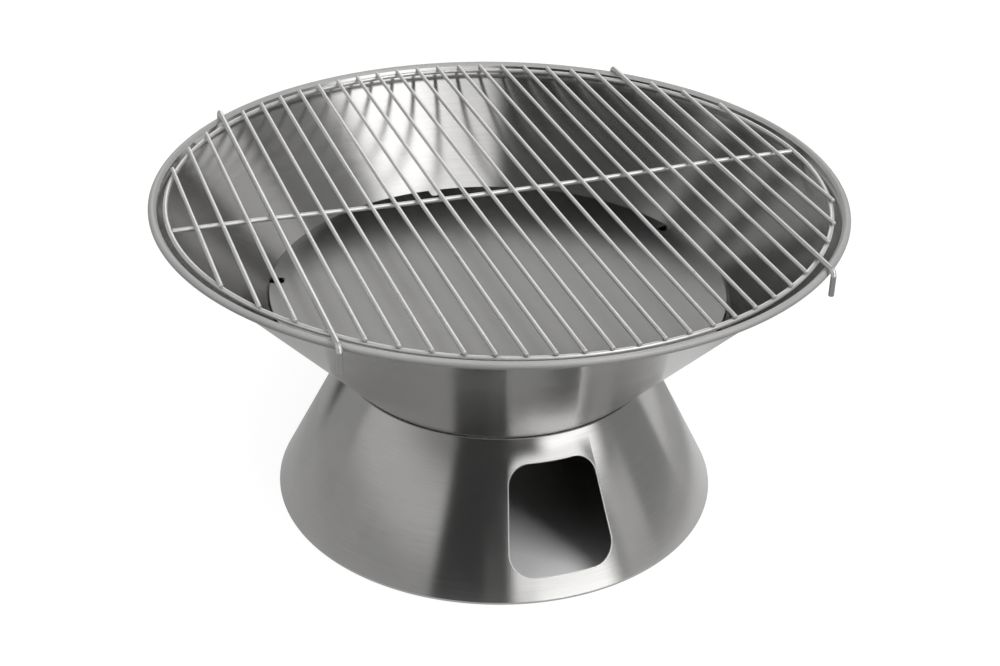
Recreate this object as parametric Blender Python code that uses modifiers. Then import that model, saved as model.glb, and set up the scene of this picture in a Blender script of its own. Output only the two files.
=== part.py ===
"""Steel fire pit: a conical fire bowl with a rolled rim, held in a conical base with a draught
opening, a notched fire plate lying in the bowl and a hooked grate hanging on the rim.

The frame: metres, +Z up, origin on the floor at the centre of the foot. The draught opening
faces -Y, and the bars of the grate run along Y.
"""

import math

import bmesh
import bpy
from mathutils import Vector

MM = 0.001

# Clearances
SEAT_GAP = 0.3 * MM            # between two pieces that rest on or are welded to each other

# Sheet
SHEET = 1.5 * MM               # wall of the bowl and of the base
TURN_STEPS = 96                # facets round the bowl, the base and the plate

# Base
BASE_HEIGHT = 123.0 * MM       # floor to the cut top edge
BASE_TOP_RADIUS = 135.2 * MM   # outside, at the top edge
BASE_FOOT_RADIUS = 197.6 * MM  # outside, where the cone would meet the floor
FOOT_BEND_RADIUS = 2.2 * MM    # outside of the fold at the foot
FOOT_FLANGE_WIDTH = 8.0 * MM   # flat ring turned inwards under the base
FOOT_BEND_STEPS = 4

# Draught opening, measured on the unrolled cone of the base
OPENING_BOTTOM = 22.0 * MM     # along the slope, from the floor to the lower edge
OPENING_TOP_MARGIN = 20.5 * MM  # along the slope, from the upper edge to the top of the wall
OPENING_SPREAD = 29.4          # degrees round the base between the two side edges
OPENING_TOP_FILLET = 19.0 * MM
OPENING_BOTTOM_FILLET = 21.0 * MM
OPENING_FILLET_STEPS = 8
OPENING_EDGE_STEPS = 8
CUTTER_REACH = 14.0 * MM       # how far the cutter stands off each side of the wall

# Bowl
RIM_RADIUS = 290.0 * MM        # outside of the rolled rim
RIM_HEIGHT = 285.3 * MM        # centre of the rolled rim
RIM_ROLL_RADIUS = 3.0 * MM     # outside of the roll
RIM_ROLL_END = -144.0          # degrees, where the roll stops short of the wall
RIM_ROLL_STEPS = 10
BOWL_TUCK = 23.0 * MM          # how far the open lower end reaches down inside the base

# Fire plate
PLATE_THICKNESS = 2.0 * MM
PLATE_RADIUS = 196.6 * MM
PLATE_BEVEL = 0.35 * MM
NOTCH_COUNT = 5
NOTCH_WIDTH = 9.5 * MM
NOTCH_DEPTH = 12.0 * MM
NOTCH_FILLET = 2.5 * MM
NOTCH_FILLET_STEPS = 3

# Grate
RING_SETBACK = 15.3 * MM       # from the rim's outside in to the ring's centre line
RING_WIRE = 4.0 * MM           # diameters of the wires
CROSS_WIRE = 4.0 * MM
BAR_WIRE = 3.5 * MM
HOOK_WIRE = 4.5 * MM
BAR_COUNT = 26                 # hooked bars included, evenly spread across the ring
HOOKED_BAR = 4                 # counted in from each side
BAR_OVERHANG = 2.0 * MM        # of a bar's end past the ring's centre line
HOOK_BEND_RADIUS = 5.0 * MM    # centre line of the bend
HOOK_DROP = 21.4 * MM          # from the hooked bar down to the hook's tip
HOOK_PLAY = 2.0 * MM           # how far the grate can slide along its bars
HOOK_BEND_STEPS = 6
WIRE_END_BEVEL = 0.5 * MM      # eased edge round the cut end of a wire
RING_STEPS = 96
RING_SIDES = 8
WIRE_SIDES = 12

RING_RADIUS = RIM_RADIUS - RING_SETBACK
BOWL_BOTTOM = BASE_HEIGHT - BOWL_TUCK

SHEET_COLOUR = (0.58, 0.57, 0.55, 1.0)
PLATE_COLOUR = (0.6, 0.59, 0.57, 1.0)
WIRE_COLOUR = (0.68, 0.67, 0.65, 1.0)


def clear_scene():
    """Remove every object that the open file holds."""
    for old in list(bpy.data.objects):
        bpy.data.objects.remove(old, do_unlink=True)


def make_collection(name):
    """Return a new collection linked to the scene."""
    collection = bpy.data.collections.new(name)
    bpy.context.scene.collection.children.link(collection)
    return collection


def steel(name, colour, roughness):
    """Return a steel material."""
    material = bpy.data.materials.new(name)
    material.use_nodes = True
    shader = material.node_tree.nodes["Principled BSDF"]
    shader.inputs["Base Color"].default_value = colour
    shader.inputs["Metallic"].default_value = 1.0
    shader.inputs["Roughness"].default_value = roughness
    material.diffuse_color = colour
    return material


def add_object(name, data, collection, material):
    """Link a new object that shows the given mesh or curve."""
    piece = bpy.data.objects.new(name, data)
    collection.objects.link(piece)
    if material is not None:
        data.materials.append(material)
    return piece


def add_axis(name, collection, position):
    """An empty on the line along which a loose part lifts off."""
    axis = bpy.data.objects.new(name, None)
    axis.empty_display_size = SHEET
    axis.location = position
    collection.objects.link(axis)
    return axis


def hang(piece, axis, position):
    """Parent a piece to an empty and put its origin at a position of the whole object."""
    piece.parent = axis
    piece.location = Vector(position) - axis.location
    return piece


def ease(piece, width):
    """Bevel the square edges of a piece."""
    bevel = piece.modifiers.new("eased_edge", "BEVEL")
    bevel.width = width
    bevel.segments = 1
    bevel.limit_method = "ANGLE"
    bevel.angle_limit = math.radians(60.0)


def arc(centre, radius, start, end, steps):
    """Return points on an arc, angles in degrees, both ends included."""
    points = []
    for step in range(steps + 1):
        angle = math.radians(start + (end - start) * step / steps)
        points.append((centre[0] + radius * math.cos(angle), centre[1] + radius * math.sin(angle)))
    return points


def turned(name, profile, origin_height, collection, material):
    """Turn a closed profile of (radius, height) points round the Z axis."""
    mesh = bpy.data.meshes.new(name)
    corners = [(radius, 0.0, height - origin_height) for radius, height in profile]
    edges = [(i, (i + 1) % len(corners)) for i in range(len(corners))]
    mesh.from_pydata(corners, edges, [])
    piece = add_object(name, mesh, collection, material)
    screw = piece.modifiers.new("turn", "SCREW")
    screw.axis = "Z"
    screw.angle = 2.0 * math.pi
    screw.steps = TURN_STEPS
    screw.render_steps = TURN_STEPS
    screw.use_merge_vertices = True
    screw.merge_threshold = 0.00001
    screw.use_smooth_shade = True
    return piece


def bake(piece, sharp_degrees=35.0):
    """Return a piece as a welded mesh, shaded smooth up to an angle, and remove the original."""
    graph = bpy.context.evaluated_depsgraph_get()
    mesh = bpy.data.meshes.new_from_object(piece.evaluated_get(graph))
    work = bmesh.new()
    work.from_mesh(mesh)
    bmesh.ops.remove_doubles(work, verts=work.verts, dist=0.000005)
    work.to_mesh(mesh)
    work.free()
    mesh.shade_smooth()
    mesh.set_sharp_from_angle(angle=math.radians(sharp_degrees))
    name = piece.name
    collection = piece.users_collection[0]
    place = piece.matrix_world.copy()
    bpy.data.objects.remove(piece, do_unlink=True)
    baked = bpy.data.objects.new(name, mesh)
    baked.matrix_world = place
    collection.objects.link(baked)
    return baked


# Base

def base_angle():
    """Angle of the base's wall from the vertical, in radians."""
    return math.atan2(BASE_FOOT_RADIUS - BASE_TOP_RADIUS, BASE_HEIGHT)


def base_slope_length():
    """Length of the base's wall along its slope, from the floor to the top edge."""
    return math.hypot(BASE_FOOT_RADIUS - BASE_TOP_RADIUS, BASE_HEIGHT)


def base_outer_radius(height):
    """Outside radius of the base's cone at a height."""
    return BASE_FOOT_RADIUS - height * math.tan(base_angle())


def base_profile():
    """Section of the base: a cone of sheet, folded inwards at the foot to a flat ring."""
    slope = base_angle()
    wall_across = SHEET / math.cos(slope)
    bend_height = FOOT_BEND_RADIUS
    bend_radius = base_outer_radius(bend_height) - FOOT_BEND_RADIUS / math.cos(slope)
    centre = (bend_radius, bend_height)
    wall_degrees = math.degrees(slope)
    inner_bend = FOOT_BEND_RADIUS - SHEET
    flange_end = bend_radius - FOOT_FLANGE_WIDTH
    profile = [(BASE_TOP_RADIUS, BASE_HEIGHT)]
    profile += arc(centre, FOOT_BEND_RADIUS, wall_degrees, -90.0, FOOT_BEND_STEPS)
    profile += [(flange_end, 0.0), (flange_end, SHEET)]
    profile += arc(centre, inner_bend, -90.0, wall_degrees, FOOT_BEND_STEPS)
    profile += [(BASE_TOP_RADIUS - wall_across, BASE_HEIGHT)]
    return profile


def opening_corner(edge_radius, fillet_radius, inward, start, end):
    """One rounded corner of the opening, right of its middle, on the unrolled sheet.

    edge_radius is the distance of the lower or upper edge from the cone's tip, and inward is -1
    for the lower edge and +1 for the upper. Returns (x, y) points about the tip.
    """
    half_spread = math.radians(OPENING_SPREAD / 2.0) * math.sin(base_angle())
    middle = edge_radius + inward * fillet_radius
    lean = math.asin(fillet_radius / middle)
    turn = half_spread - lean
    points = []
    for step in range(OPENING_FILLET_STEPS + 1):
        angle = turn + start + (end - start) * step / OPENING_FILLET_STEPS
        x = middle * math.sin(turn) + fillet_radius * math.sin(angle)
        y = middle * math.cos(turn) + fillet_radius * math.cos(angle)
        points.append((x, y))
    return points


def opening_outline():
    """Outline of the draught opening, as (degrees round, distance up the slope) points.

    Its sides are straight lines of the cone and its other two edges are circles of it, so on
    the unrolled sheet they are radii and arcs about the tip, and each corner is a true fillet.
    """
    slope = base_angle()
    tip_to_floor = BASE_FOOT_RADIUS / math.sin(slope)
    lower = tip_to_floor - OPENING_BOTTOM
    opening_top = base_slope_length() - OPENING_TOP_MARGIN
    upper = tip_to_floor - opening_top
    lean_low = math.asin(OPENING_BOTTOM_FILLET / (lower - OPENING_BOTTOM_FILLET))
    lean_up = math.asin(OPENING_TOP_FILLET / (upper + OPENING_TOP_FILLET))
    square = math.pi / 2.0
    right = opening_corner(lower, OPENING_BOTTOM_FILLET, -1.0, 0.0, square + lean_low)
    right += opening_corner(upper, OPENING_TOP_FILLET, 1.0, square + lean_up, math.pi)
    half = []
    for x, y in right:
        half.append((math.degrees(math.atan2(x, y) / math.sin(slope)), tip_to_floor - math.hypot(x, y)))
    low_end = half[0][0]
    up_end = half[-1][0]
    spots = [2.0 * step / OPENING_EDGE_STEPS - 1.0 for step in range(1, OPENING_EDGE_STEPS)]
    outline = [(low_end * spot, OPENING_BOTTOM) for spot in spots]
    outline += half
    outline += [(-up_end * spot, opening_top) for spot in spots]
    outline += [(-degrees, along) for degrees, along in reversed(half)]
    return outline


def opening_cutter(collection):
    """Cutter of the draught opening: its outline lofted square through the base's wall."""
    slope = base_angle()
    out = Vector((math.cos(slope), math.sin(slope)))
    work = bmesh.new()
    rings = []
    for reach in (CUTTER_REACH, -CUTTER_REACH):
        ring = []
        for degrees, along in opening_outline():
            radius = BASE_FOOT_RADIUS - along * math.sin(slope) + out.x * reach
            height = along * math.cos(slope) + out.y * reach
            azimuth = math.radians(degrees - 90.0)
            place = (radius * math.cos(azimuth), radius * math.sin(azimuth), height)
            ring.append(work.verts.new(place))
        rings.append(ring)
    count = len(rings[0])
    for i in range(count):
        after = (i + 1) % count
        work.faces.new((rings[0][i], rings[1][i], rings[1][after], rings[0][after]))
    work.faces.new(rings[0])
    work.faces.new(list(reversed(rings[1])))
    bmesh.ops.recalc_face_normals(work, faces=work.faces)
    mesh = bpy.data.meshes.new("opening_cutter")
    work.to_mesh(mesh)
    work.free()
    cutter = add_object("opening_cutter", mesh, collection, None)
    cutter.hide_render = True
    cutter.display_type = "WIRE"
    return cutter


def make_base(parts, cutters, material):
    """The base: cone, folded foot and draught opening."""
    base = turned("base_skirt", base_profile(), 0.0, parts, material)
    cut = base.modifiers.new("draught_opening", "BOOLEAN")
    cut.operation = "DIFFERENCE"
    cut.solver = "EXACT"
    cut.object = opening_cutter(cutters)
    return bake(base)


# Bowl

def bowl_section():
    """Angle of the bowl's wall from the vertical and the place where it seats in the base.

    The wall's outside passes the base's inner top corner at SEAT_GAP and touches the inside of
    the rolled rim.
    """
    corner = Vector((BASE_TOP_RADIUS - SHEET / math.cos(base_angle()), BASE_HEIGHT))
    roll = Vector((RIM_RADIUS - RIM_ROLL_RADIUS, RIM_HEIGHT))
    reach = roll - corner
    across = (RIM_ROLL_RADIUS - SHEET) - SEAT_GAP
    angle = math.acos(across / reach.length) - math.atan2(reach.y, reach.x)
    normal = Vector((math.cos(angle), -math.sin(angle)))
    seat = corner - normal * SEAT_GAP
    return angle, seat


def bowl_outer_radius(height):
    """Outside radius of the bowl's wall at a height."""
    angle, seat = bowl_section()
    return seat.x + (height - seat.y) * math.tan(angle)


def bowl_inner_radius(height):
    """Inside radius of the bowl's wall at a height."""
    angle, _ = bowl_section()
    return bowl_outer_radius(height) - SHEET / math.cos(angle)


def bowl_profile():
    """Section of the bowl: one sheet from the open lower end to the rolled rim."""
    angle, _ = bowl_section()
    centre = (RIM_RADIUS - RIM_ROLL_RADIUS, RIM_HEIGHT)
    start = 180.0 - math.degrees(angle)
    profile = [(bowl_inner_radius(BOWL_BOTTOM), BOWL_BOTTOM)]
    profile += arc(centre, RIM_ROLL_RADIUS, start, RIM_ROLL_END, RIM_ROLL_STEPS)
    profile += arc(centre, RIM_ROLL_RADIUS - SHEET, RIM_ROLL_END, start, RIM_ROLL_STEPS)
    profile += [(bowl_outer_radius(BOWL_BOTTOM), BOWL_BOTTOM)]
    return profile


def make_bowl(parts, axis, material):
    """The fire bowl, whose origin is at the base's top edge, on the line it lifts along."""
    bowl = bake(turned("fire_bowl", bowl_profile(), BASE_HEIGHT, parts, material))
    return hang(bowl, axis, (0.0, 0.0, BASE_HEIGHT))


# Fire plate

def plate_height():
    """Height of the plate's underside, where its lower edge seats in the bowl's cone."""
    angle, seat = bowl_section()
    radius = PLATE_RADIUS + SEAT_GAP / math.cos(angle) + SHEET / math.cos(angle)
    return seat.y + (radius - seat.x) / math.tan(angle)


def plate_outline():
    """Outline of the plate: a circle with notches cut into its edge."""
    points = []
    half_width = NOTCH_WIDTH / 2.0
    floor_radius = PLATE_RADIUS - NOTCH_DEPTH
    half_turn = math.degrees(math.asin(half_width / PLATE_RADIUS))
    spacing = 360.0 / NOTCH_COUNT
    arc_steps = TURN_STEPS // NOTCH_COUNT - 1
    for notch in range(NOTCH_COUNT):
        facing = 90.0 + notch * spacing
        turn = math.radians(facing)
        away = Vector((math.cos(turn), math.sin(turn)))
        side = Vector((math.sin(turn), -math.cos(turn)))
        floor = floor_radius + NOTCH_FILLET
        inner = half_width - NOTCH_FILLET
        first = away * floor + side * inner
        second = away * floor - side * inner
        points += arc(first, NOTCH_FILLET, facing - 90.0, facing - 180.0, NOTCH_FILLET_STEPS)
        points += arc(second, NOTCH_FILLET, facing + 180.0, facing + 90.0, NOTCH_FILLET_STEPS)
        start = facing + half_turn
        points += arc((0.0, 0.0), PLATE_RADIUS, start, start + spacing - 2.0 * half_turn, arc_steps)
    return points


def make_plate(parts, axis, material):
    """The fire plate, which lies loose in the bowl."""
    flat = bpy.data.curves.new("fire_plate", "CURVE")
    flat.dimensions = "2D"
    flat.fill_mode = "BOTH"
    flat.extrude = PLATE_THICKNESS / 2.0
    outline = plate_outline()
    spline = flat.splines.new("POLY")
    spline.points.add(len(outline) - 1)
    spline.use_cyclic_u = True
    for i, (x, y) in enumerate(outline):
        spline.points[i].co = (x, y, 0.0, 1.0)
    plate = bake(add_object("fire_plate", flat, parts, material))
    ease(plate, PLATE_BEVEL)
    return hang(plate, axis, (0.0, 0.0, plate_height() + PLATE_THICKNESS / 2.0))


# Grate

def ring_height():
    """Height of the ring's centre line under the hooked bars that hang on the rim."""
    rim_top = RIM_HEIGHT + RIM_ROLL_RADIUS
    return rim_top - RING_WIRE / 2.0


def bar_height(wire):
    """Height of a bar's centre line, lying on the ring."""
    return ring_height() + RING_WIRE / 2.0 + SEAT_GAP + wire / 2.0


def bar_places():
    """Distances of the bars from the grate's middle, from -X to +X."""
    pitch = 2.0 * RING_RADIUS / (BAR_COUNT + 1)
    return [(i - (BAR_COUNT - 1) / 2.0) * pitch for i in range(BAR_COUNT)]


def hook_leg_reach(across):
    """Distance along Y from the grate's middle to a hook's leg, clear of the rim by the play."""
    clear = RIM_RADIUS + SEAT_GAP + HOOK_WIRE / 2.0
    return math.sqrt(clear ** 2 - across ** 2) + HOOK_PLAY


def wire(name, points, diameter, collection, material):
    """A round wire along straight runs between the given points, its ends eased."""
    curve = bpy.data.curves.new(name, "CURVE")
    curve.dimensions = "3D"
    curve.bevel_depth = diameter / 2.0
    curve.bevel_resolution = WIRE_SIDES // 2 - 2
    curve.use_fill_caps = True
    spline = curve.splines.new("POLY")
    spline.points.add(len(points) - 1)
    for i, (x, y, z) in enumerate(points):
        spline.points[i].co = (x, y, z, 1.0)
    piece = bake(add_object(name, curve, collection, material))
    ease(piece, WIRE_END_BEVEL)
    return piece


def make_ring(parts, axis, material):
    """The ring of the grate."""
    bpy.ops.mesh.primitive_torus_add(
        major_segments=RING_STEPS,
        minor_segments=RING_SIDES,
        major_radius=RING_RADIUS,
        minor_radius=RING_WIRE / 2.0,
    )
    ring = bpy.context.object
    ring.name = "grate_ring"
    for collection in list(ring.users_collection):
        collection.objects.unlink(ring)
    parts.objects.link(ring)
    ring.data.materials.append(material)
    ring.data.shade_smooth()
    return hang(ring, axis, (0.0, -HOOK_PLAY, ring_height()))


def make_cross_bar(parts, axis, material):
    """The bar under the others, welded between the ring's two sides."""
    half = RING_RADIUS - RING_WIRE / 2.0 - SEAT_GAP
    ends = [(-half, 0.0, 0.0), (half, 0.0, 0.0)]
    bar = wire("grate_cross_bar", ends, CROSS_WIRE, parts, material)
    height = ring_height() + (RING_WIRE - CROSS_WIRE) / 2.0
    return hang(bar, axis, (0.0, -HOOK_PLAY, height))


def make_bar(name, across, parts, axis, material):
    """A straight bar on top of the ring."""
    half = math.sqrt((RING_RADIUS + BAR_OVERHANG) ** 2 - across ** 2)
    bar = wire(name, [(0.0, -half, 0.0), (0.0, half, 0.0)], BAR_WIRE, parts, material)
    return hang(bar, axis, (across, -HOOK_PLAY, bar_height(BAR_WIRE)))


def make_hooked_bar(name, across, parts, axis, material):
    """A thicker bar that reaches over the rim, bent down at both ends."""
    reach = hook_leg_reach(across)
    bend = HOOK_BEND_RADIUS
    front = arc((bend - reach, -bend), bend, 180.0, 90.0, HOOK_BEND_STEPS)
    rear = arc((reach - bend, -bend), bend, 90.0, 0.0, HOOK_BEND_STEPS)
    path = [(-reach, -HOOK_DROP)] + front + rear + [(reach, -HOOK_DROP)]
    points = [(0.0, along, level) for along, level in path]
    bar = wire(name, points, HOOK_WIRE, parts, material)
    return hang(bar, axis, (across, -HOOK_PLAY, bar_height(HOOK_WIRE)))


def make_grate(parts, axis, material, hook_material):
    """The grate: ring, cross bar, straight bars and hooked bars."""
    make_ring(parts, axis, material)
    make_cross_bar(parts, axis, material)
    hooked = (HOOKED_BAR - 1, BAR_COUNT - HOOKED_BAR)
    for i, across in enumerate(bar_places()):
        if i in hooked:
            side = "left" if across < 0.0 else "right"
            make_hooked_bar("grate_hooked_bar_" + side, across, parts, axis, hook_material)
        else:
            make_bar("grate_bar_%02d" % (i + 1), across, parts, axis, material)


def main():
    """Build the fire pit."""
    clear_scene()
    parts = make_collection("fire_pit")
    cutters = make_collection("cutters")
    bowl_axis = add_axis("bowl_axis", parts, (0.0, 0.0, BASE_HEIGHT))
    plate_axis = add_axis("plate_axis", parts, (0.0, 0.0, plate_height()))
    grate_axis = add_axis("grate_axis", parts, (0.0, -HOOK_PLAY, ring_height()))
    make_base(parts, cutters, steel("base_steel", SHEET_COLOUR, 0.34))
    make_bowl(parts, bowl_axis, steel("bowl_steel", SHEET_COLOUR, 0.3))
    make_plate(parts, plate_axis, steel("plate_steel", PLATE_COLOUR, 0.4))
    wire_steel = steel("wire_steel", WIRE_COLOUR, 0.2)
    make_grate(parts, grate_axis, wire_steel, steel("hook_steel", WIRE_COLOUR, 0.24))


main()
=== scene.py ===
"""Looks of the steel fire pit: finer meshes of the sheet and wire pieces, welds, steel materials,
a pale floor, studio light and the photograph's camera. Metres, in the CAD frame.
"""

import math
import random

import bmesh
import bpy
from mathutils import Matrix, Vector, noise


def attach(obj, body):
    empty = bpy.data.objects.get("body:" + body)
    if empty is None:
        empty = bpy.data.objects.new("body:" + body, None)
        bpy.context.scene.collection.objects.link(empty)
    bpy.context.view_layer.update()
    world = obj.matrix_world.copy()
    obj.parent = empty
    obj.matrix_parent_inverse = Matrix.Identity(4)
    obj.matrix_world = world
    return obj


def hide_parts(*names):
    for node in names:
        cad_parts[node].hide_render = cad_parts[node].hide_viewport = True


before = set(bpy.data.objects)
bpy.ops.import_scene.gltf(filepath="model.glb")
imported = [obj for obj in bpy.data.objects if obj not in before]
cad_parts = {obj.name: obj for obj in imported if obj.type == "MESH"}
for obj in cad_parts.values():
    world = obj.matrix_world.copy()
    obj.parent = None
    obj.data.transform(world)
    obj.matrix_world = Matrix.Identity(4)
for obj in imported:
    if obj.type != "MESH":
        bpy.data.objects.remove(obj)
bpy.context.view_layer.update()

MM = 0.001

# Sizes that the solids share

SHEET = 1.5 * MM
SHEET_EASE = 0.2 * MM
SEAT_GAP = 0.3 * MM

BASE_HEIGHT = 123.0 * MM
BASE_TOP_RADIUS = 135.2 * MM
BASE_FOOT_RADIUS = 197.6 * MM
FOOT_BEND_RADIUS = 2.2 * MM
FOOT_FLANGE_WIDTH = 8.0 * MM

OPENING_BOTTOM = 22.0 * MM
OPENING_TOP_MARGIN = 20.5 * MM
OPENING_SPREAD = 29.4
OPENING_TOP_FILLET = 19.0 * MM
OPENING_BOTTOM_FILLET = 21.0 * MM

RIM_RADIUS = 290.0 * MM
RIM_HEIGHT = 285.3 * MM
RIM_ROLL_RADIUS = 3.0 * MM
RIM_ROLL_END = -144.0
BOWL_BOTTOM = 100.0 * MM

PLATE_THICKNESS = 2.0 * MM
PLATE_RADIUS = 196.6 * MM
NOTCH_COUNT = 5
NOTCH_WIDTH = 9.5 * MM
NOTCH_DEPTH = 12.0 * MM
NOTCH_FILLET = 2.5 * MM

RING_RADIUS = 274.7 * MM
RING_WIRE = 4.0 * MM
CROSS_WIRE = 4.0 * MM
BAR_WIRE = 3.5 * MM
HOOK_WIRE = 4.5 * MM
BAR_COUNT = 26
HOOKED_BAR = 4
BAR_OVERHANG = 2.0 * MM
HOOK_BEND_RADIUS = 5.0 * MM
HOOK_DROP = 21.4 * MM
HOOK_PLAY = 2.0 * MM

# How the grate of the photograph lies: turned and pushed a little, sagging between its hooks,
# with the right rear hook standing further back so that it clears the rim

GRATE_TURN = math.radians(0.44)
GRATE_PLACE = Vector((-1.65 * MM, -2.5 * MM, 0.0))
REAR_HOOK_SPARE = 2.0 * MM
RING_SAG = 1.3 * MM
MIDDLE_SAG = 1.7 * MM

# Width of the satin band on the wall under the roll
RIM_LEAD = 2.4 * MM

# The eased edge of the draught opening: how far under the sheet's face its middle lies
EDGE_WIDTH = 1.1 * MM
EDGE_DEPTH = 0.45 * MM
CUTTER_REACH = 14.0 * MM

# Eased edges of the plate, and the narrow strip that keeps its flat faces flat in the shading
PLATE_EASE = 0.35 * MM
PLATE_EASE_STEPS = 3
PLATE_STRIP = 0.3 * MM

# Rounding of the wires' ends
BAR_END = 0.8 * MM
HOOK_END = 0.9 * MM
CROSS_END = 0.2 * MM

# Half sizes of the welds, along the wire, across it and up: on a bar, and at the cross bar's ends
WELD_SIZE = Vector((2.1, 1.5, 0.75)) * MM
END_WELD_SIZE = Vector((1.0, 2.1, 1.9)) * MM
WELD_LUMPS = 0.16
WELD_LUMP_SCALE = 1.7
WELD_SHIFT = 9.0
WELD_SEED = 7

# How finely the visible meshes are cut

TURN_STEPS = 480
FOLD_STEPS = 10
ROLL_STEPS = 28
CORNER_STEPS = 18
OPENING_SPANS = 24
PLATE_STEPS = 90
NOTCH_STEPS = 8
RING_STEPS = 360
BAR_SPANS = 24
CROSS_SPANS = 40
HOOK_STEPS = 14
WIRE_SIDES = 20
CAP_STEPS = 5
SHEET_SHARP = math.radians(35.0)
WIRE_SHARP = math.radians(50.0)

# Steel: noise scales along and across the brushing, scales of the clouds and of the sheet's wave,
# and how far clouds and brushing change the tone

BRUSHING = (18.0, 2600.0, 1.0)
SCRATCHES = (5.0, 420.0, 1.0)
CLOUD_SCALE = 14.0
WAVE_SCALE = 9.0
CLOUD_TONE = (0.93, 1.05)
BRUSHING_TONE = (0.94, 1.06)
BRUSHED_ROUND = 0.25

# Floor: colour outside and inside the base, the lift to white that the camera sees outside, and
# the share of it that mirrors see near the foot, at the camera's left and right, and further out.
# The lower share at the left is a painted shadow, the higher one at the right a painted pool of
# light.

FLOOR_SIZE = 60.0
FLOOR_PAPER = 0.22
FLOOR_PAPER_UNDER = 0.9
FLOOR_LIFT = 0.88
FLOOR_MIRRORED_PAINTED_SHADE = 0.44
FLOOR_MIRRORED_PAINTED_LIGHT = 0.7
FLOOR_MIRRORED_FAR = 0.36
FLOOR_DARK_RADIUS = 0.19
FLOOR_DARK_EDGE = 0.01
FLOOR_NEAR_HALF = 0.22
FLOOR_POOL = (0.22, 0.34)

# The room as the steel mirrors it: (side from, side to, height from, height to, brightness,
# softness of the sides), sides in degrees round from the camera, to its right, heights in degrees.
# Where panels overlap, the brighter one counts. Matt surfaces get a share of the room only.

ROOM_LEVEL = 0.055
ROOM_ON_MATT = 0.25
ROOM_SOFTNESS = 3.0
ROOM_PANELS = [
    (27.0, 87.0, 28.0, 70.0, 2.21, 8.0),
    (14.0, 68.0, -20.0, 8.0, 2.85, 6.0),
    (6.0, 64.0, 5.0, 27.0, 1.55, 4.0),
    (62.0, 94.0, 2.0, 24.0, 0.62, 5.0),
    (-4.0, 113.0, 54.0, 66.0, 2.02, 7.0),
    (-105.0, -26.0, 16.0, 41.0, 0.68, 3.0),
    (-105.0, -26.0, -20.0, 41.0, 0.4, 3.0),
    (-132.0, -64.0, -20.0, 30.0, 0.42, 4.0),
    (-165.0, -132.0, -20.0, 30.0, 0.3, 4.0),
    (-8.0, 9.0, -20.0, 24.0, 0.13, 3.0),
    (36.0, 120.0, -20.0, 58.0, 0.32, 3.0),
    (114.0, 145.0, -20.0, 35.0, 0.82, 3.0),
    (160.0, 197.0, -20.0, 42.0, 1.29, 3.0),
    (-200.0, 200.0, 76.0, 100.0, 0.7, 3.0),
]

# Lamps: name, side and height in degrees as above, side of the square, brightness

LAMPS = [
    ("key_lamp", 58.0, 50.0, 1.3, 7.3),
    ("top_lamp", -60.0, 62.0, 1.4, 6.2),
]
LAMP_DISTANCE = 2.5
LAMP_AIM = Vector((0.0, 0.0, 0.15))

# The photograph's camera

CAMERA_PLACE = Vector((-0.4169, -1.2109, 0.8840))
CAMERA_YAW = math.radians(-19.13)
CAMERA_PITCH = math.radians(-29.98)
CAMERA_ROLL = math.radians(-1.24)
CAMERA_LENS = 60.53
CAMERA_SENSOR = 36.0
CAMERA_SHIFT = 0.0005
CAMERA_CLIP = (0.05, 200.0)

CAMERA_SIDE = math.atan2(-CAMERA_PLACE.x, -CAMERA_PLACE.y)


# Materials

class Nodes:
    """A node tree with short ways to add the nodes used here."""

    def __init__(self, tree):
        self.tree = tree

    def add(self, kind, **settings):
        """Add a node."""
        node = self.tree.nodes.new(kind)
        for key, value in settings.items():
            setattr(node, key, value)
        return node

    def feed(self, socket, value):
        """Set a socket to a value, or link it to another socket."""
        if isinstance(value, bpy.types.NodeSocket):
            self.tree.links.new(value, socket)
        else:
            socket.default_value = value

    def math(self, operation, *values):
        """Output of a maths node."""
        node = self.add("ShaderNodeMath", operation=operation)
        for socket, value in zip(node.inputs, values):
            self.feed(socket, value)
        return node.outputs[0]

    def spread(self, value, low, high, to_low=0.0, to_high=1.0, kind="LINEAR"):
        """Output of a node that maps low to to_low and high to to_high, and stops there."""
        node = self.add("ShaderNodeMapRange", interpolation_type=kind)
        names = ("Value", "From Min", "From Max", "To Min", "To Max")
        for name, given in zip(names, (value, low, high, to_low, to_high)):
            self.feed(node.inputs[name], given)
        return node.outputs["Result"]

    def noise(self, place, scale, detail, roughness=0.5, dimensions="3D"):
        """Output of a noise node."""
        node = self.add("ShaderNodeTexNoise", noise_dimensions=dimensions)
        names = ("Vector", "Scale", "Detail", "Roughness")
        for name, given in zip(names, (place, scale, detail, roughness)):
            self.feed(node.inputs[name], given)
        return node.outputs["Fac"]

    def stretched(self, place, stretch):
        """Output of a node that multiplies a place, axis by axis."""
        node = self.add("ShaderNodeVectorMath", operation="MULTIPLY")
        self.feed(node.inputs[0], place)
        node.inputs[1].default_value = stretch
        return node.outputs["Vector"]

    def bump(self, height, distance, normal=None):
        """Output of a bump node."""
        node = self.add("ShaderNodeBump")
        node.inputs["Strength"].default_value = 1.0
        node.inputs["Distance"].default_value = distance
        self.feed(node.inputs["Height"], height)
        if normal is not None:
            self.feed(node.inputs["Normal"], normal)
        return node.outputs["Normal"]

    def from_camera(self, place):
        """A place's x, y and z with the Z axis turned so that the camera is on its -y side."""
        turn = self.add("ShaderNodeVectorRotate", rotation_type="Z_AXIS")
        turn.inputs["Angle"].default_value = CAMERA_SIDE
        self.feed(turn.inputs["Vector"], place)
        split = self.add("ShaderNodeSeparateXYZ")
        self.feed(split.inputs["Vector"], turn.outputs["Vector"])
        return split.outputs


def new_material(name):
    """Return a node material, its nodes and the sockets of its shader."""
    material = bpy.data.materials.new(name)
    material.use_nodes = True
    tree = material.node_tree
    return material, Nodes(tree), tree.nodes["Principled BSDF"].inputs


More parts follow.
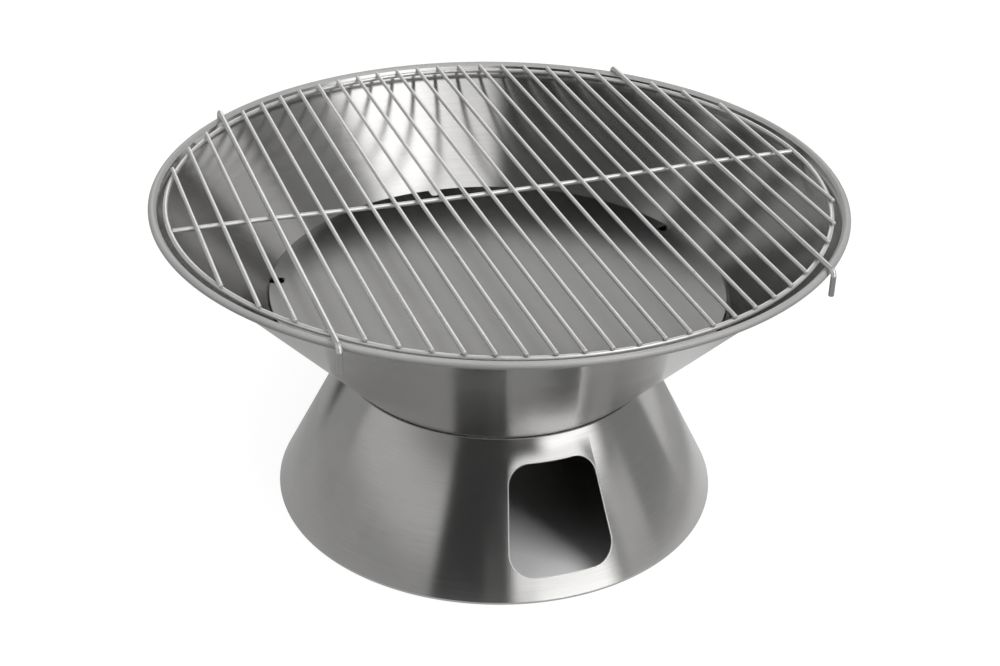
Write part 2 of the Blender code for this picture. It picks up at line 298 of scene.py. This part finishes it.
def steel(name, colour, roughness, grain, anisotropy=0.0, wave=0.0, metal=1.0):
    """Steel with a brushed grain along u of the UV map, cloudy tone and a slow wave.

    grain is the depth of the brushing, wave the depth of the sheet's slow unevenness, both in
    metres. metal is the share of mirroring, the rest scatters as a satin surface does.
    """
    material, nodes, shader = new_material(name)
    uv = nodes.add("ShaderNodeUVMap", uv_map="metres").outputs["UV"]
    place = nodes.add("ShaderNodeTexCoord").outputs["Object"]
    brushing = nodes.noise(nodes.stretched(uv, BRUSHING), 1.0, 5.0, 0.62, "2D")
    scratches = nodes.noise(nodes.stretched(uv, SCRATCHES), 1.0, 4.0, 0.5, "2D")
    cloud = nodes.noise(place, CLOUD_SCALE, 6.0, 0.55)

    # Colour: cloudy, with fine light and dark streaks of the brushing
    tone = nodes.spread(cloud, 0.3, 0.7, *CLOUD_TONE)
    streak = nodes.spread(brushing, 0.25, 0.75, *BRUSHING_TONE)
    shade = nodes.add("ShaderNodeVectorMath", operation="SCALE")
    shade.inputs[0].default_value = colour
    nodes.feed(shade.inputs["Scale"], nodes.math("MULTIPLY", tone, streak))
    nodes.feed(shader["Base Color"], shade.outputs["Vector"])

    # Roughness: follows the clouds and the scratches
    matt = nodes.math("MULTIPLY_ADD", cloud, roughness * 0.5, roughness * 0.6)
    matt = nodes.math("MULTIPLY_ADD", scratches, roughness * 0.3, matt)
    nodes.feed(shader["Roughness"], matt)

    shader["Metallic"].default_value = metal
    shader["Anisotropic"].default_value = anisotropy
    if anisotropy > 0.0:
        shader["Anisotropic Rotation"].default_value = BRUSHED_ROUND
        tangent = nodes.add("ShaderNodeTangent", direction_type="RADIAL", axis="Z")
        nodes.feed(shader["Tangent"], tangent.outputs["Tangent"])

    # Relief: brushing, and the slow wave of thin sheet
    relief = nodes.bump(brushing, grain)
    if wave > 0.0:
        relief = nodes.bump(nodes.noise(place, WAVE_SCALE, 1.5), wave, relief)
    nodes.feed(shader["Normal"], relief)
    return material


# Geometry

def arc(centre, radius, start, end, steps):
    """Points on an arc, angles in degrees, both ends included."""
    points = []
    for step in range(steps + 1):
        angle = math.radians(start + (end - start) * step / steps)
        across, up = radius * math.cos(angle), radius * math.sin(angle)
        points.append((centre[0] + across, centre[1] + up))
    return points


def link_piece(name, mesh, materials, body, replaced):
    """Make a piece of a mesh, riding on a body in place of CAD nodes."""
    for material in materials:
        mesh.materials.append(material)
    piece = bpy.data.objects.new(name, mesh)
    bpy.context.scene.collection.objects.link(piece)
    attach(piece, body)
    if replaced:
        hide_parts(*replaced)
    return piece


def finish_mesh(name, work, sharp=None):
    """Turn a bmesh into a mesh, with edges sharp from an angle on."""
    mesh = bpy.data.meshes.new(name)
    work.to_mesh(mesh)
    work.free()
    if sharp is not None:
        mesh.set_sharp_from_angle(angle=sharp)
    return mesh


def turned_mesh(name, profile, steps, second=()):
    """Mesh of a closed profile of (radius, height) points turned round Z, with UVs in metres.

    The strips named in second take the second material.
    """
    work = bmesh.new()
    layer = work.loops.layers.uv.new("metres")
    count = len(profile)
    lengths = [0.0]
    for i in range(count):
        a, b = profile[i], profile[(i + 1) % count]
        lengths.append(lengths[-1] + math.hypot(b[0] - a[0], b[1] - a[1]))
    mean = sum(radius for radius, _ in profile) / count
    rings = []
    for step in range(steps):
        turn = 2.0 * math.pi * step / steps
        c, s = math.cos(turn), math.sin(turn)
        ring = [work.verts.new((radius * c, radius * s, height)) for radius, height in profile]
        rings.append(ring)
    for step in range(steps):
        here, there = rings[step], rings[(step + 1) % steps]
        u = [mean * 2.0 * math.pi * at / steps for at in (step, step + 1)]
        for i in range(count):
            after = (i + 1) % count
            v = lengths[i], lengths[i + 1]
            face = work.faces.new((here[i], there[i], there[after], here[after]))
            places = ((u[0], v[0]), (u[1], v[0]), (u[1], v[1]), (u[0], v[1]))
            for loop, uv in zip(face.loops, places):
                loop[layer].uv = uv
            face.smooth = True
            face.material_index = 1 if i in second else 0
    bmesh.ops.recalc_face_normals(work, faces=work.faces)
    return finish_mesh(name, work, SHEET_SHARP)


def base_angle():
    """Angle of the base's wall from the vertical."""
    return math.atan2(BASE_FOOT_RADIUS - BASE_TOP_RADIUS, BASE_HEIGHT)


def base_profile():
    """Section of the base."""
    slope = base_angle()
    across = SHEET / math.cos(slope)
    bend = FOOT_BEND_RADIUS
    middle = BASE_FOOT_RADIUS - bend * math.tan(slope) - bend / math.cos(slope)
    lean = math.degrees(slope)
    end = middle - FOOT_FLANGE_WIDTH
    ease = SHEET_EASE
    top = BASE_TOP_RADIUS
    side = ease * math.tan(slope)
    profile = [(top - ease, BASE_HEIGHT), (top + side, BASE_HEIGHT - ease)]
    profile += arc((middle, bend), bend, lean, -90.0, FOLD_STEPS)
    profile += [(end, 0.0), (end, SHEET)]
    profile += arc((middle, bend), bend - SHEET, -90.0, lean, FOLD_STEPS)
    profile += [(top - across + side, BASE_HEIGHT - ease), (top - across + ease, BASE_HEIGHT)]
    return profile


def opening_corner(edge_radius, fillet_radius, inward, start, end):
    """One rounded corner of the opening on the unrolled sheet, as points about the cone's tip."""
    half_spread = math.radians(OPENING_SPREAD / 2.0) * math.sin(base_angle())
    middle = edge_radius + inward * fillet_radius
    turn = half_spread - math.asin(fillet_radius / middle)
    points = []
    for step in range(CORNER_STEPS + 1):
        angle = turn + start + (end - start) * step / CORNER_STEPS
        x = middle * math.sin(turn) + fillet_radius * math.sin(angle)
        y = middle * math.cos(turn) + fillet_radius * math.cos(angle)
        points.append((x, y))
    return points


def opening_outline():
    """Outline of the draught opening, as (degrees round, distance up the slope) points."""
    slope = base_angle()
    tip = BASE_FOOT_RADIUS / math.sin(slope)
    wall = math.hypot(BASE_FOOT_RADIUS - BASE_TOP_RADIUS, BASE_HEIGHT)
    top = wall - OPENING_TOP_MARGIN
    lower, upper = tip - OPENING_BOTTOM, tip - top
    lean_low = math.asin(OPENING_BOTTOM_FILLET / (lower - OPENING_BOTTOM_FILLET))
    lean_up = math.asin(OPENING_TOP_FILLET / (upper + OPENING_TOP_FILLET))
    square = math.pi / 2.0
    right = opening_corner(lower, OPENING_BOTTOM_FILLET, -1.0, 0.0, square + lean_low)
    right += opening_corner(upper, OPENING_TOP_FILLET, 1.0, square + lean_up, math.pi)
    half = []
    for x, y in right:
        half.append((math.degrees(math.atan2(x, y) / math.sin(slope)), tip - math.hypot(x, y)))
    spots = [2.0 * step / OPENING_SPANS - 1.0 for step in range(1, OPENING_SPANS)]
    outline = [(half[0][0] * spot, OPENING_BOTTOM) for spot in spots]
    outline += half
    outline += [(-half[-1][0] * spot, top) for spot in spots]
    outline += [(-degrees, along) for degrees, along in reversed(half)]
    return outline


def opening_ring(reach):
    """The opening's outline in space, at a distance out from the base's outer face."""
    slope = base_angle()
    ring = []
    for degrees, along in opening_outline():
        radius = BASE_FOOT_RADIUS - along * math.sin(slope) + math.cos(slope) * reach
        height = along * math.cos(slope) + math.sin(slope) * reach
        azimuth = math.radians(degrees - 90.0)
        ring.append((radius * math.cos(azimuth), radius * math.sin(azimuth), height))
    return ring


def opening_cutter(edge_highlight_material):
    """Cutter of the draught opening, square through the base's wall; its near-white material, a
    painted highlight, goes to the cut faces.
    """
    work = bmesh.new()
    rings = []
    for reach in (CUTTER_REACH, -CUTTER_REACH):
        rings.append([work.verts.new(point) for point in opening_ring(reach)])
    outer, inner = rings
    count = len(outer)
    for i in range(count):
        after = (i + 1) % count
        work.faces.new((outer[i], inner[i], inner[after], outer[after])).smooth = True
    work.faces.new(outer)
    work.faces.new(list(reversed(inner)))
    bmesh.ops.recalc_face_normals(work, faces=work.faces)
    mesh = finish_mesh("opening_cutter", work)
    mesh.materials.append(edge_highlight_material)
    cutter = bpy.data.objects.new("opening_cutter", mesh)
    bpy.context.scene.collection.objects.link(cutter)
    return cutter


def make_opening_edge(edge_highlight_material):
    """The eased outer edge of the draught opening, near white as a painted highlight."""
    mesh = wire_mesh("opening_edge", opening_ring(-EDGE_DEPTH), EDGE_WIDTH, 0.0, closed=True)
    link_piece("opening_edge", mesh, [edge_highlight_material], "base", [])


def cut_mesh(mesh, cutter, materials):
    """Return a mesh less a cutter, whose material its cut faces take, and remove the cutter."""
    for material in materials:
        mesh.materials.append(material)
    blank = bpy.data.objects.new("blank", mesh)
    bpy.context.scene.collection.objects.link(blank)
    cut = blank.modifiers.new("cut", "BOOLEAN")
    cut.operation = "DIFFERENCE"
    cut.solver = "EXACT"
    cut.material_mode = "TRANSFER"
    cut.object = cutter
    graph = bpy.context.evaluated_depsgraph_get()
    result = bpy.data.meshes.new_from_object(blank.evaluated_get(graph))
    bpy.data.objects.remove(blank, do_unlink=True)
    bpy.data.objects.remove(cutter, do_unlink=True)
    result.shade_smooth()
    result.set_sharp_from_angle(angle=SHEET_SHARP)
    return result


def bowl_section():
    """Angle of the bowl's wall from the vertical, and where it seats in the base."""
    corner = Vector((BASE_TOP_RADIUS - SHEET / math.cos(base_angle()), BASE_HEIGHT))
    roll = Vector((RIM_RADIUS - RIM_ROLL_RADIUS, RIM_HEIGHT))
    reach = roll - corner
    inside = math.acos((RIM_ROLL_RADIUS - SHEET - SEAT_GAP) / reach.length)
    angle = inside - math.atan2(reach.y, reach.x)
    return angle, corner - Vector((math.cos(angle), -math.sin(angle))) * SEAT_GAP


def bowl_profile():
    """Section of the bowl."""
    angle, seat = bowl_section()
    out = seat.x + (BOWL_BOTTOM - seat.y) * math.tan(angle)
    middle = (RIM_RADIUS - RIM_ROLL_RADIUS, RIM_HEIGHT)
    start = 180.0 - math.degrees(angle)
    lead = RIM_ROLL_RADIUS * math.cos(math.radians(start)) - RIM_LEAD * math.sin(angle)
    drop = RIM_ROLL_RADIUS * math.sin(math.radians(start)) - RIM_LEAD * math.cos(angle)
    profile = [(out - SHEET / math.cos(angle), BOWL_BOTTOM), (middle[0] + lead, middle[1] + drop)]
    profile += arc(middle, RIM_ROLL_RADIUS, start, RIM_ROLL_END, ROLL_STEPS)
    profile += arc(middle, RIM_ROLL_RADIUS - SHEET, RIM_ROLL_END, start, ROLL_STEPS)
    profile += [(out, BOWL_BOTTOM)]
    return profile


def plate_height():
    """Height of the fire plate's underside."""
    angle, seat = bowl_section()
    radius = PLATE_RADIUS + (SEAT_GAP + SHEET) / math.cos(angle)
    return seat.y + (radius - seat.x) / math.tan(angle)


def plate_outline():
    """Outline of the fire plate."""
    points = []
    half_width = NOTCH_WIDTH / 2.0
    half_turn = math.degrees(math.asin(half_width / PLATE_RADIUS))
    spacing = 360.0 / NOTCH_COUNT
    for notch in range(NOTCH_COUNT):
        facing = 90.0 + notch * spacing
        turn = math.radians(facing)
        away = Vector((math.cos(turn), math.sin(turn)))
        side = Vector((math.sin(turn), -math.cos(turn)))
        floor = away * (PLATE_RADIUS - NOTCH_DEPTH + NOTCH_FILLET)
        inner = side * (half_width - NOTCH_FILLET)
        points += arc(floor + inner, NOTCH_FILLET, facing - 90.0, facing - 180.0, NOTCH_STEPS)
        points += arc(floor - inner, NOTCH_FILLET, facing + 180.0, facing + 90.0, NOTCH_STEPS)
        start = facing + half_turn
        end = start + spacing - 2.0 * half_turn
        points += arc((0.0, 0.0), PLATE_RADIUS, start, end, PLATE_STEPS)
    return points


def plate_mesh():
    """Mesh of the fire plate, its edges eased."""
    work = bmesh.new()
    bottom = plate_height()
    face = work.faces.new([work.verts.new((x, y, bottom)) for x, y in plate_outline()])
    raised = bmesh.ops.extrude_face_region(work, geom=[face])["geom"]
    moved = [item for item in raised if isinstance(item, bmesh.types.BMVert)]
    bmesh.ops.translate(work, verts=moved, vec=(0.0, 0.0, PLATE_THICKNESS))
    bmesh.ops.recalc_face_normals(work, faces=work.faces)
    rim = [edge for edge in work.edges if abs(edge.verts[0].co.z - edge.verts[1].co.z) < 1e-6]
    bmesh.ops.bevel(work, geom=rim, offset=PLATE_EASE, segments=PLATE_EASE_STEPS, profile=0.5,
                    affect="EDGES")
    flats = [face for face in work.faces if abs(face.normal.z) > 0.99 and len(face.verts) > 8]
    bmesh.ops.inset_individual(work, faces=flats, thickness=PLATE_STRIP, depth=0.0)
    layer = work.loops.layers.uv.new("metres")
    for face in work.faces:
        face.smooth = True
        for loop in face.loops:
            loop[layer].uv = (loop.vert.co.x, loop.vert.co.y)
    return finish_mesh("fire_plate_sheet", work, SHEET_SHARP)


def wire_stations(path, radius, rounding, closed):
    """Places along a wire, each with the wire's direction and radius there."""
    stations = []
    count = len(path)
    for i, point in enumerate(path):
        if closed:
            ahead = (path[(i + 1) % count] - path[i - 1]).normalized()
        elif i == 0:
            ahead = (path[1] - path[0]).normalized()
        elif i == count - 1:
            ahead = (path[-1] - path[-2]).normalized()
        else:
            coming, going = point - path[i - 1], path[i + 1] - point
            ahead = (going.normalized() + coming.normalized()).normalized()
        stations.append((point, ahead, radius))
    if closed:
        return stations
    first, last = stations[0], stations[-1]
    start, end = [], []
    for step in range(CAP_STEPS + 1):
        turn = math.pi / 2.0 * step / CAP_STEPS
        inset = rounding * (1.0 - math.cos(turn))
        slim = radius - rounding * (1.0 - math.sin(turn))
        start.append((first[0] + first[1] * inset, first[1], slim))
        end.insert(0, (last[0] - last[1] * inset, last[1], slim))
    return start + stations[1:-1] + end


def wire_mesh(name, points, diameter, rounding, closed=False):
    """Mesh of a round wire along 3-D points, its ends rounded, with UVs in metres along it."""
    path = [Vector(point) for point in points]
    radius = diameter / 2.0
    work = bmesh.new()
    layer = work.loops.layers.uv.new("metres")
    rings = []
    side = None
    along = 0.0
    lengths = []
    previous = None
    for point, ahead, size in wire_stations(path, radius, rounding, closed):
        if side is None:
            upright = abs(ahead.z) >= 0.9
            other = Vector((1.0, 0.0, 0.0)) if upright else Vector((0.0, 0.0, 1.0))
            side = ahead.cross(other).normalized()
        side = (side - ahead * side.dot(ahead)).normalized()
        up = side.cross(ahead)
        ring = []
        for k in range(WIRE_SIDES):
            angle = 2.0 * math.pi * k / WIRE_SIDES
            offset = side * math.cos(angle) + up * math.sin(angle)
            ring.append(work.verts.new(point + offset * size))
        rings.append(ring)
        if previous is not None:
            along += (point - previous).length
        lengths.append(along)
        previous = point
    spans = len(rings) if closed else len(rings) - 1
    for i in range(spans):
        here, there = rings[i], rings[(i + 1) % len(rings)]
        low = lengths[i]
        high = lengths[i + 1] if i + 1 < len(rings) else low + (path[0] - path[-1]).length
        for k in range(WIRE_SIDES):
            after = (k + 1) % WIRE_SIDES
            face = work.faces.new((here[k], here[after], there[after], there[k]))
            v = [radius * 2.0 * math.pi * at / WIRE_SIDES for at in (k, k + 1)]
            places = ((low, v[0]), (low, v[1]), (high, v[1]), (high, v[0]))
            for loop, uv in zip(face.loops, places):
                loop[layer].uv = uv
            face.smooth = True
    if not closed:
        work.faces.new(list(reversed(rings[0]))).smooth = True
        work.faces.new(rings[-1]).smooth = True
    bmesh.ops.recalc_face_normals(work, faces=work.faces)
    return finish_mesh(name, work, WIRE_SHARP)


def ring_height():
    """Height of the ring's centre line."""
    return RIM_HEIGHT + RIM_ROLL_RADIUS - RING_WIRE / 2.0


def bar_height(wire):
    """Height of the centre line of a bar on the ring."""
    return ring_height() + RING_WIRE / 2.0 + SEAT_GAP + wire / 2.0


def bar_places():
    """Distances of the bars from the grate's middle."""
    pitch = 2.0 * RING_RADIUS / (BAR_COUNT + 1)
    return [(i - (BAR_COUNT - 1) / 2.0) * pitch for i in range(BAR_COUNT)]


def hook_reach(across):
    """Distance along Y from the grate's middle to a hook's leg."""
    clear = RIM_RADIUS + SEAT_GAP + HOOK_WIRE / 2.0
    return math.sqrt(clear ** 2 - across ** 2) + HOOK_PLAY


def lay(points):
    """Put points of the grate, given about its middle, where the photograph's grate lies."""
    hung = bar_places()[BAR_COUNT - HOOKED_BAR]
    turn = Matrix.Rotation(GRATE_TURN, 3, "Z")
    laid = []
    for x, y, z in points:
        between = max(0.0, 1.0 - (x / hung) ** 2)
        inside = max(0.0, 1.0 - (y / RING_RADIUS) ** 2)
        drop = between * (RING_SAG + MIDDLE_SAG * inside)
        laid.append(turn @ Vector((x, y, z - drop)) + GRATE_PLACE)
    return laid


def make_hooked_bar(across, hook_steel, leg_painted_shade_steel):
    """One of the two longer bars, bent down over the rim at both ends, its hanging legs in darker
    steel as painted shade.
    """
    side = "left" if across < 0.0 else "right"
    bend = HOOK_BEND_RADIUS
    height = bar_height(HOOK_WIRE)
    reach = hook_reach(across)
    rear_reach = reach + (REAR_HOOK_SPARE if across > 0.0 else 0.0)
    front = arc((bend - reach, height - bend), bend, 180.0, 90.0, HOOK_STEPS)
    rear = arc((rear_reach - bend, height - bend), bend, 90.0, 0.0, HOOK_STEPS)
    path = [(-reach, height - HOOK_DROP)] + front + rear + [(rear_reach, height - HOOK_DROP)]
    name = "hooked_wire_" + side
    mesh = wire_mesh(name, lay([(across, y, z) for y, z in path]), HOOK_WIRE, HOOK_END)
    # The legs below the top take the darker steel: painted shade on the same wire
    for face in mesh.polygons:
        face.material_index = 1 if face.center.z < height - HOOK_WIRE else 0
    node = "grate_hooked_bar_" + side
    link_piece(name, mesh, [hook_steel, leg_painted_shade_steel], "grate", [node])


def make_bars(wire_steel, hook_steel, leg_painted_shade_steel):
    """The bars of the grate, straight and hooked."""
    hooked = (HOOKED_BAR - 1, BAR_COUNT - HOOKED_BAR)
    height = bar_height(BAR_WIRE)
    for i, across in enumerate(bar_places()):
        if i in hooked:
            make_hooked_bar(across, hook_steel, leg_painted_shade_steel)
            continue
        half = math.sqrt((RING_RADIUS + BAR_OVERHANG) ** 2 - across ** 2)
        spots = [half * (2.0 * step / BAR_SPANS - 1.0) for step in range(BAR_SPANS + 1)]
        name = "bar_wire_%02d" % (i + 1)
        mesh = wire_mesh(name, lay([(across, y, height) for y in spots]), BAR_WIRE, BAR_END)
        link_piece(name, mesh, [wire_steel], "grate", ["grate_bar_%02d" % (i + 1)])


def make_ring_and_cross(wire_steel):
    """The ring of the grate and the bar that crosses it under the others."""
    points = []
    for step in range(RING_STEPS):
        turn = 2.0 * math.pi * step / RING_STEPS
        points.append((RING_RADIUS * math.cos(turn), RING_RADIUS * math.sin(turn), ring_height()))
    mesh = wire_mesh("ring_wire", lay(points), RING_WIRE, 0.0, closed=True)
    link_piece("ring_wire", mesh, [wire_steel], "grate", ["grate_ring"])
    half = RING_RADIUS - RING_WIRE / 2.0 - SEAT_GAP
    spots = [half * (2.0 * step / CROSS_SPANS - 1.0) for step in range(CROSS_SPANS + 1)]
    points = [(x, 0.0, ring_height()) for x in spots]
    mesh = wire_mesh("cross_wire", lay(points), CROSS_WIRE, CROSS_END)
    link_piece("cross_wire", mesh, [wire_steel], "grate", ["grate_cross_bar"])


def make_welds(weld_steel):
    """Small welds where the bars lie on the ring and the cross bar, and at the cross bar's ends."""
    random.seed(WELD_SEED)
    work = bmesh.new()
    layer = work.loops.layers.uv.new("metres")
    on_bars = ring_height() + RING_WIRE / 2.0 + SEAT_GAP / 2.0
    spots = []
    for across in bar_places():
        along = math.sqrt(RING_RADIUS ** 2 - across ** 2)
        lean = math.atan2(along, across)
        for side in (-1.0, 1.0):
            turn = side * lean + math.pi / 2.0
            spots.append((across, side * along, on_bars, turn, WELD_SIZE))
        spots.append((across, 0.0, on_bars, 0.0, WELD_SIZE))
    for side in (-1.0, 1.0):
        end = side * (RING_RADIUS - RING_WIRE / 2.0)
        spots.append((end, 0.0, ring_height(), 0.0, END_WELD_SIZE))
    for x, y, z, turn, size in spots:
        centre = lay([(x, y, z)])[0]
        made = bmesh.ops.create_icosphere(work, subdivisions=3, radius=1.0)["verts"]
        turned = Matrix.Rotation(turn, 3, "Z")
        shift = Vector([random.uniform(-WELD_SHIFT, WELD_SHIFT) for _ in range(3)])
        for vert in made:
            lump = 1.0 + WELD_LUMPS * noise.noise(vert.co * WELD_LUMP_SCALE + shift)
            vert.co = centre + turned @ (vert.co * size * lump)
    for face in work.faces:
        face.smooth = True
        for loop in face.loops:
            loop[layer].uv = (loop.vert.co.x, loop.vert.co.y)
    mesh = finish_mesh("grate_welds", work)
    link_piece("grate_welds", mesh, [weld_steel], "grate", [])


# Stage

def make_floor():
    """Wide floor of darker paper, lifted to white for the camera, that keeps the shadow."""
    size = FLOOR_SIZE
    mesh = bpy.data.meshes.new("floor")
    corners = [(-size, -size, 0.0), (size, -size, 0.0), (size, size, 0.0), (-size, size, 0.0)]
    mesh.from_pydata(corners, [], [(0, 1, 2, 3)])
    floor = bpy.data.objects.new("floor", mesh)
    bpy.context.scene.collection.objects.link(floor)

    material, nodes, shader = new_material("floor_paper")
    shader["Roughness"].default_value = 1.0
    shader["Specular IOR Level"].default_value = 0.0
    place = nodes.add("ShaderNodeNewGeometry").outputs["Position"]
    away = nodes.add("ShaderNodeVectorMath", operation="LENGTH")
    nodes.feed(away.inputs[0], place)
    away = away.outputs["Value"]

    # Inside the base the paper is lighter and isn't lifted
    dark = (FLOOR_DARK_RADIUS - FLOOR_DARK_EDGE, FLOOR_DARK_RADIUS)
    nodes.feed(shader["Base Color"], nodes.spread(away, *dark, FLOOR_PAPER_UNDER, FLOOR_PAPER))
    outside = nodes.spread(away, *dark, 0.0, FLOOR_LIFT)

    # The camera sees the whole lift, mirrors see a share of it, darker at the camera's left of the
    # foot as a painted shadow and lighter at its right as a painted pool of light
    near = nodes.spread(nodes.from_camera(place)["X"], -FLOOR_NEAR_HALF, FLOOR_NEAR_HALF,
                        FLOOR_MIRRORED_PAINTED_SHADE, FLOOR_MIRRORED_PAINTED_LIGHT)
    pool = nodes.spread(away, *FLOOR_POOL, near, FLOOR_MIRRORED_FAR, kind="SMOOTHSTEP")
    rays = nodes.add("ShaderNodeLightPath").outputs
    mirrored = nodes.math("MAXIMUM", rays["Is Glossy Ray"], rays["Is Transmission Ray"])
    shown = nodes.math("MULTIPLY_ADD", mirrored, pool, rays["Is Camera Ray"])
    shader["Emission Color"].default_value = (1.0, 1.0, 1.0, 1.0)
    nodes.feed(shader["Emission Strength"], nodes.math("MULTIPLY", shown, outside))
    mesh.materials.append(material)


def make_world():
    """A dim studio room with the light panels that the steel mirrors, white for the camera."""
    world = bpy.data.worlds.new("studio")
    bpy.context.scene.world = world
    world.use_nodes = True
    tree = world.node_tree
    nodes = Nodes(tree)
    place = nodes.from_camera(nodes.add("ShaderNodeTexCoord").outputs["Generated"])
    ahead = nodes.math("MULTIPLY", place["Y"], -1.0)
    in_degrees = 180.0 / math.pi
    side = nodes.math("MULTIPLY", nodes.math("ARCTAN2", place["X"], ahead), in_degrees)
    height = nodes.math("MULTIPLY", nodes.math("ARCSINE", place["Z"]), in_degrees)

    def past(value, at, soft):
        """0 before a place, 1 past it."""
        return nodes.spread(value, at - soft, at + soft, kind="SMOOTHSTEP")

    level = ROOM_LEVEL
    soft = ROOM_SOFTNESS
    for side_low, side_high, low, high, bright, blur in ROOM_PANELS:
        off = nodes.math("SUBTRACT", side, (side_low + side_high) / 2.0)
        apart = nodes.math("ABSOLUTE", nodes.math("WRAP", off, 180.0, -180.0))
        beyond = past(apart, (side_high - side_low) / 2.0 - blur, blur)
        wide = nodes.math("SUBTRACT", 1.0, beyond)
        tall = nodes.math("SUBTRACT", past(height, low, soft), past(height, high, soft))
        panel = nodes.math("MULTIPLY", nodes.math("MULTIPLY", wide, tall), bright)
        level = nodes.math("MAXIMUM", panel, level)
    rays = nodes.add("ShaderNodeLightPath").outputs
    dimmed = nodes.math("MULTIPLY", rays["Is Diffuse Ray"], 1.0 - ROOM_ON_MATT)
    level = nodes.math("MULTIPLY", level, nodes.math("SUBTRACT", 1.0, dimmed))
    back = tree.nodes["Background"].inputs
    back["Color"].default_value = (1.0, 1.0, 1.0, 1.0)
    nodes.feed(back["Strength"], nodes.math("MAXIMUM", level, rays["Is Camera Ray"]))


def make_lamp(name, side, height, size, brightness):
    """A square area lamp that faces the object and lights matt surfaces only."""
    data = bpy.data.lights.new(name, "AREA")
    data.size = size
    data.energy = brightness * math.pi * size * size
    lamp = bpy.data.objects.new(name, data)
    lamp.visible_glossy = False
    bpy.context.scene.collection.objects.link(lamp)
    a = math.radians(side) - CAMERA_SIDE
    e = math.radians(height)
    away = Vector((math.sin(a) * math.cos(e), -math.cos(a) * math.cos(e), math.sin(e)))
    lamp.location = LAMP_AIM + away * LAMP_DISTANCE
    lamp.rotation_mode = "QUATERNION"
    lamp.rotation_quaternion = (LAMP_AIM - lamp.location).to_track_quat("-Z", "Y")


def make_camera():
    """The photograph's camera."""
    data = bpy.data.cameras.new("camera")
    data.sensor_fit = "HORIZONTAL"
    data.sensor_width = CAMERA_SENSOR
    data.lens = CAMERA_LENS
    data.shift_x = -CAMERA_SHIFT
    data.shift_y = CAMERA_SHIFT
    data.clip_start, data.clip_end = CAMERA_CLIP
    camera = bpy.data.objects.new("camera", data)
    bpy.context.scene.collection.objects.link(camera)
    turn = Matrix.Rotation(CAMERA_YAW, 3, "Z") @ Matrix.Rotation(CAMERA_PITCH, 3, "X")
    turn = turn @ Matrix.Rotation(CAMERA_ROLL, 3, "Y") @ Matrix.Rotation(math.pi / 2.0, 3, "X")
    camera.matrix_world = Matrix.Translation(CAMERA_PLACE) @ turn.to_4x4()
    bpy.context.scene.camera = camera


make_camera()

sheet_steel = steel("sheet_steel", (0.52, 0.515, 0.507), 0.19, 1.5e-6, anisotropy=0.8, wave=0.0002)
# Near-black steel on the base's inner wall: painted shade inside the base
inner_painted_shade_steel = steel("inner_sheet_painted_shade", (0.055, 0.0545, 0.0535), 0.3, 1.5e-6, wave=0.0002)
# Near-white satin on the opening's cut faces and eased edge: a painted highlight on a real cut edge
edge_highlight_steel = steel("cut_edge_painted_highlight", (0.95, 0.945, 0.935), 0.38, 3e-6, metal=0.3)
rim_steel = steel("rim_steel", (0.43, 0.427, 0.42), 0.55, 1.5e-6, metal=0.35)
plate_steel = steel("plate_sheet", (0.25, 0.2475, 0.244), 0.19, 1.5e-6, wave=0.0001)
wire_steel = steel("bright_wire", (0.72, 0.716, 0.707), 0.3, 2e-6, metal=0.64)
hook_steel = steel("hook_wire", (0.68, 0.676, 0.668), 0.25, 2e-6, metal=0.68)
# Darker, mirror-like copy of the hook wire for its legs: painted shade
leg_painted_shade_steel = steel("hook_leg_painted_shade", (0.38, 0.377, 0.372), 0.14, 2e-6)
weld_steel = steel("weld_steel", (0.5, 0.495, 0.485), 0.36, 4e-6)

# The strip of the base's section that is the wall's inner face, which takes near-black steel as
# painted shade inside the base, and those of the bowl's roll
inner_painted_shade_strip = 2 * FOLD_STEPS + 5
roll_strips = range(1, 2 * ROLL_STEPS + 3)

blank = turned_mesh("skirt_blank", base_profile(), TURN_STEPS, [inner_painted_shade_strip])
skirt = cut_mesh(blank, opening_cutter(edge_highlight_steel), [sheet_steel, inner_painted_shade_steel])
skirt.name = "skirt_sheet"
link_piece("skirt_sheet", skirt, [], "base", ["base_skirt"])
make_opening_edge(edge_highlight_steel)
bowl = turned_mesh("bowl_sheet", bowl_profile(), TURN_STEPS, roll_strips)
link_piece("bowl_sheet", bowl, [sheet_steel, rim_steel], "bowl", ["fire_bowl"])
plate = plate_mesh()
link_piece("fire_plate_sheet", plate, [plate_steel], "plate", ["fire_plate"])
make_ring_and_cross(wire_steel)
make_bars(wire_steel, hook_steel, leg_painted_shade_steel)
make_welds(weld_steel)

make_floor()
make_world()
for lamp in LAMPS:
    make_lamp(*lamp)

bpy.context.scene.view_settings.view_transform = "Standard"
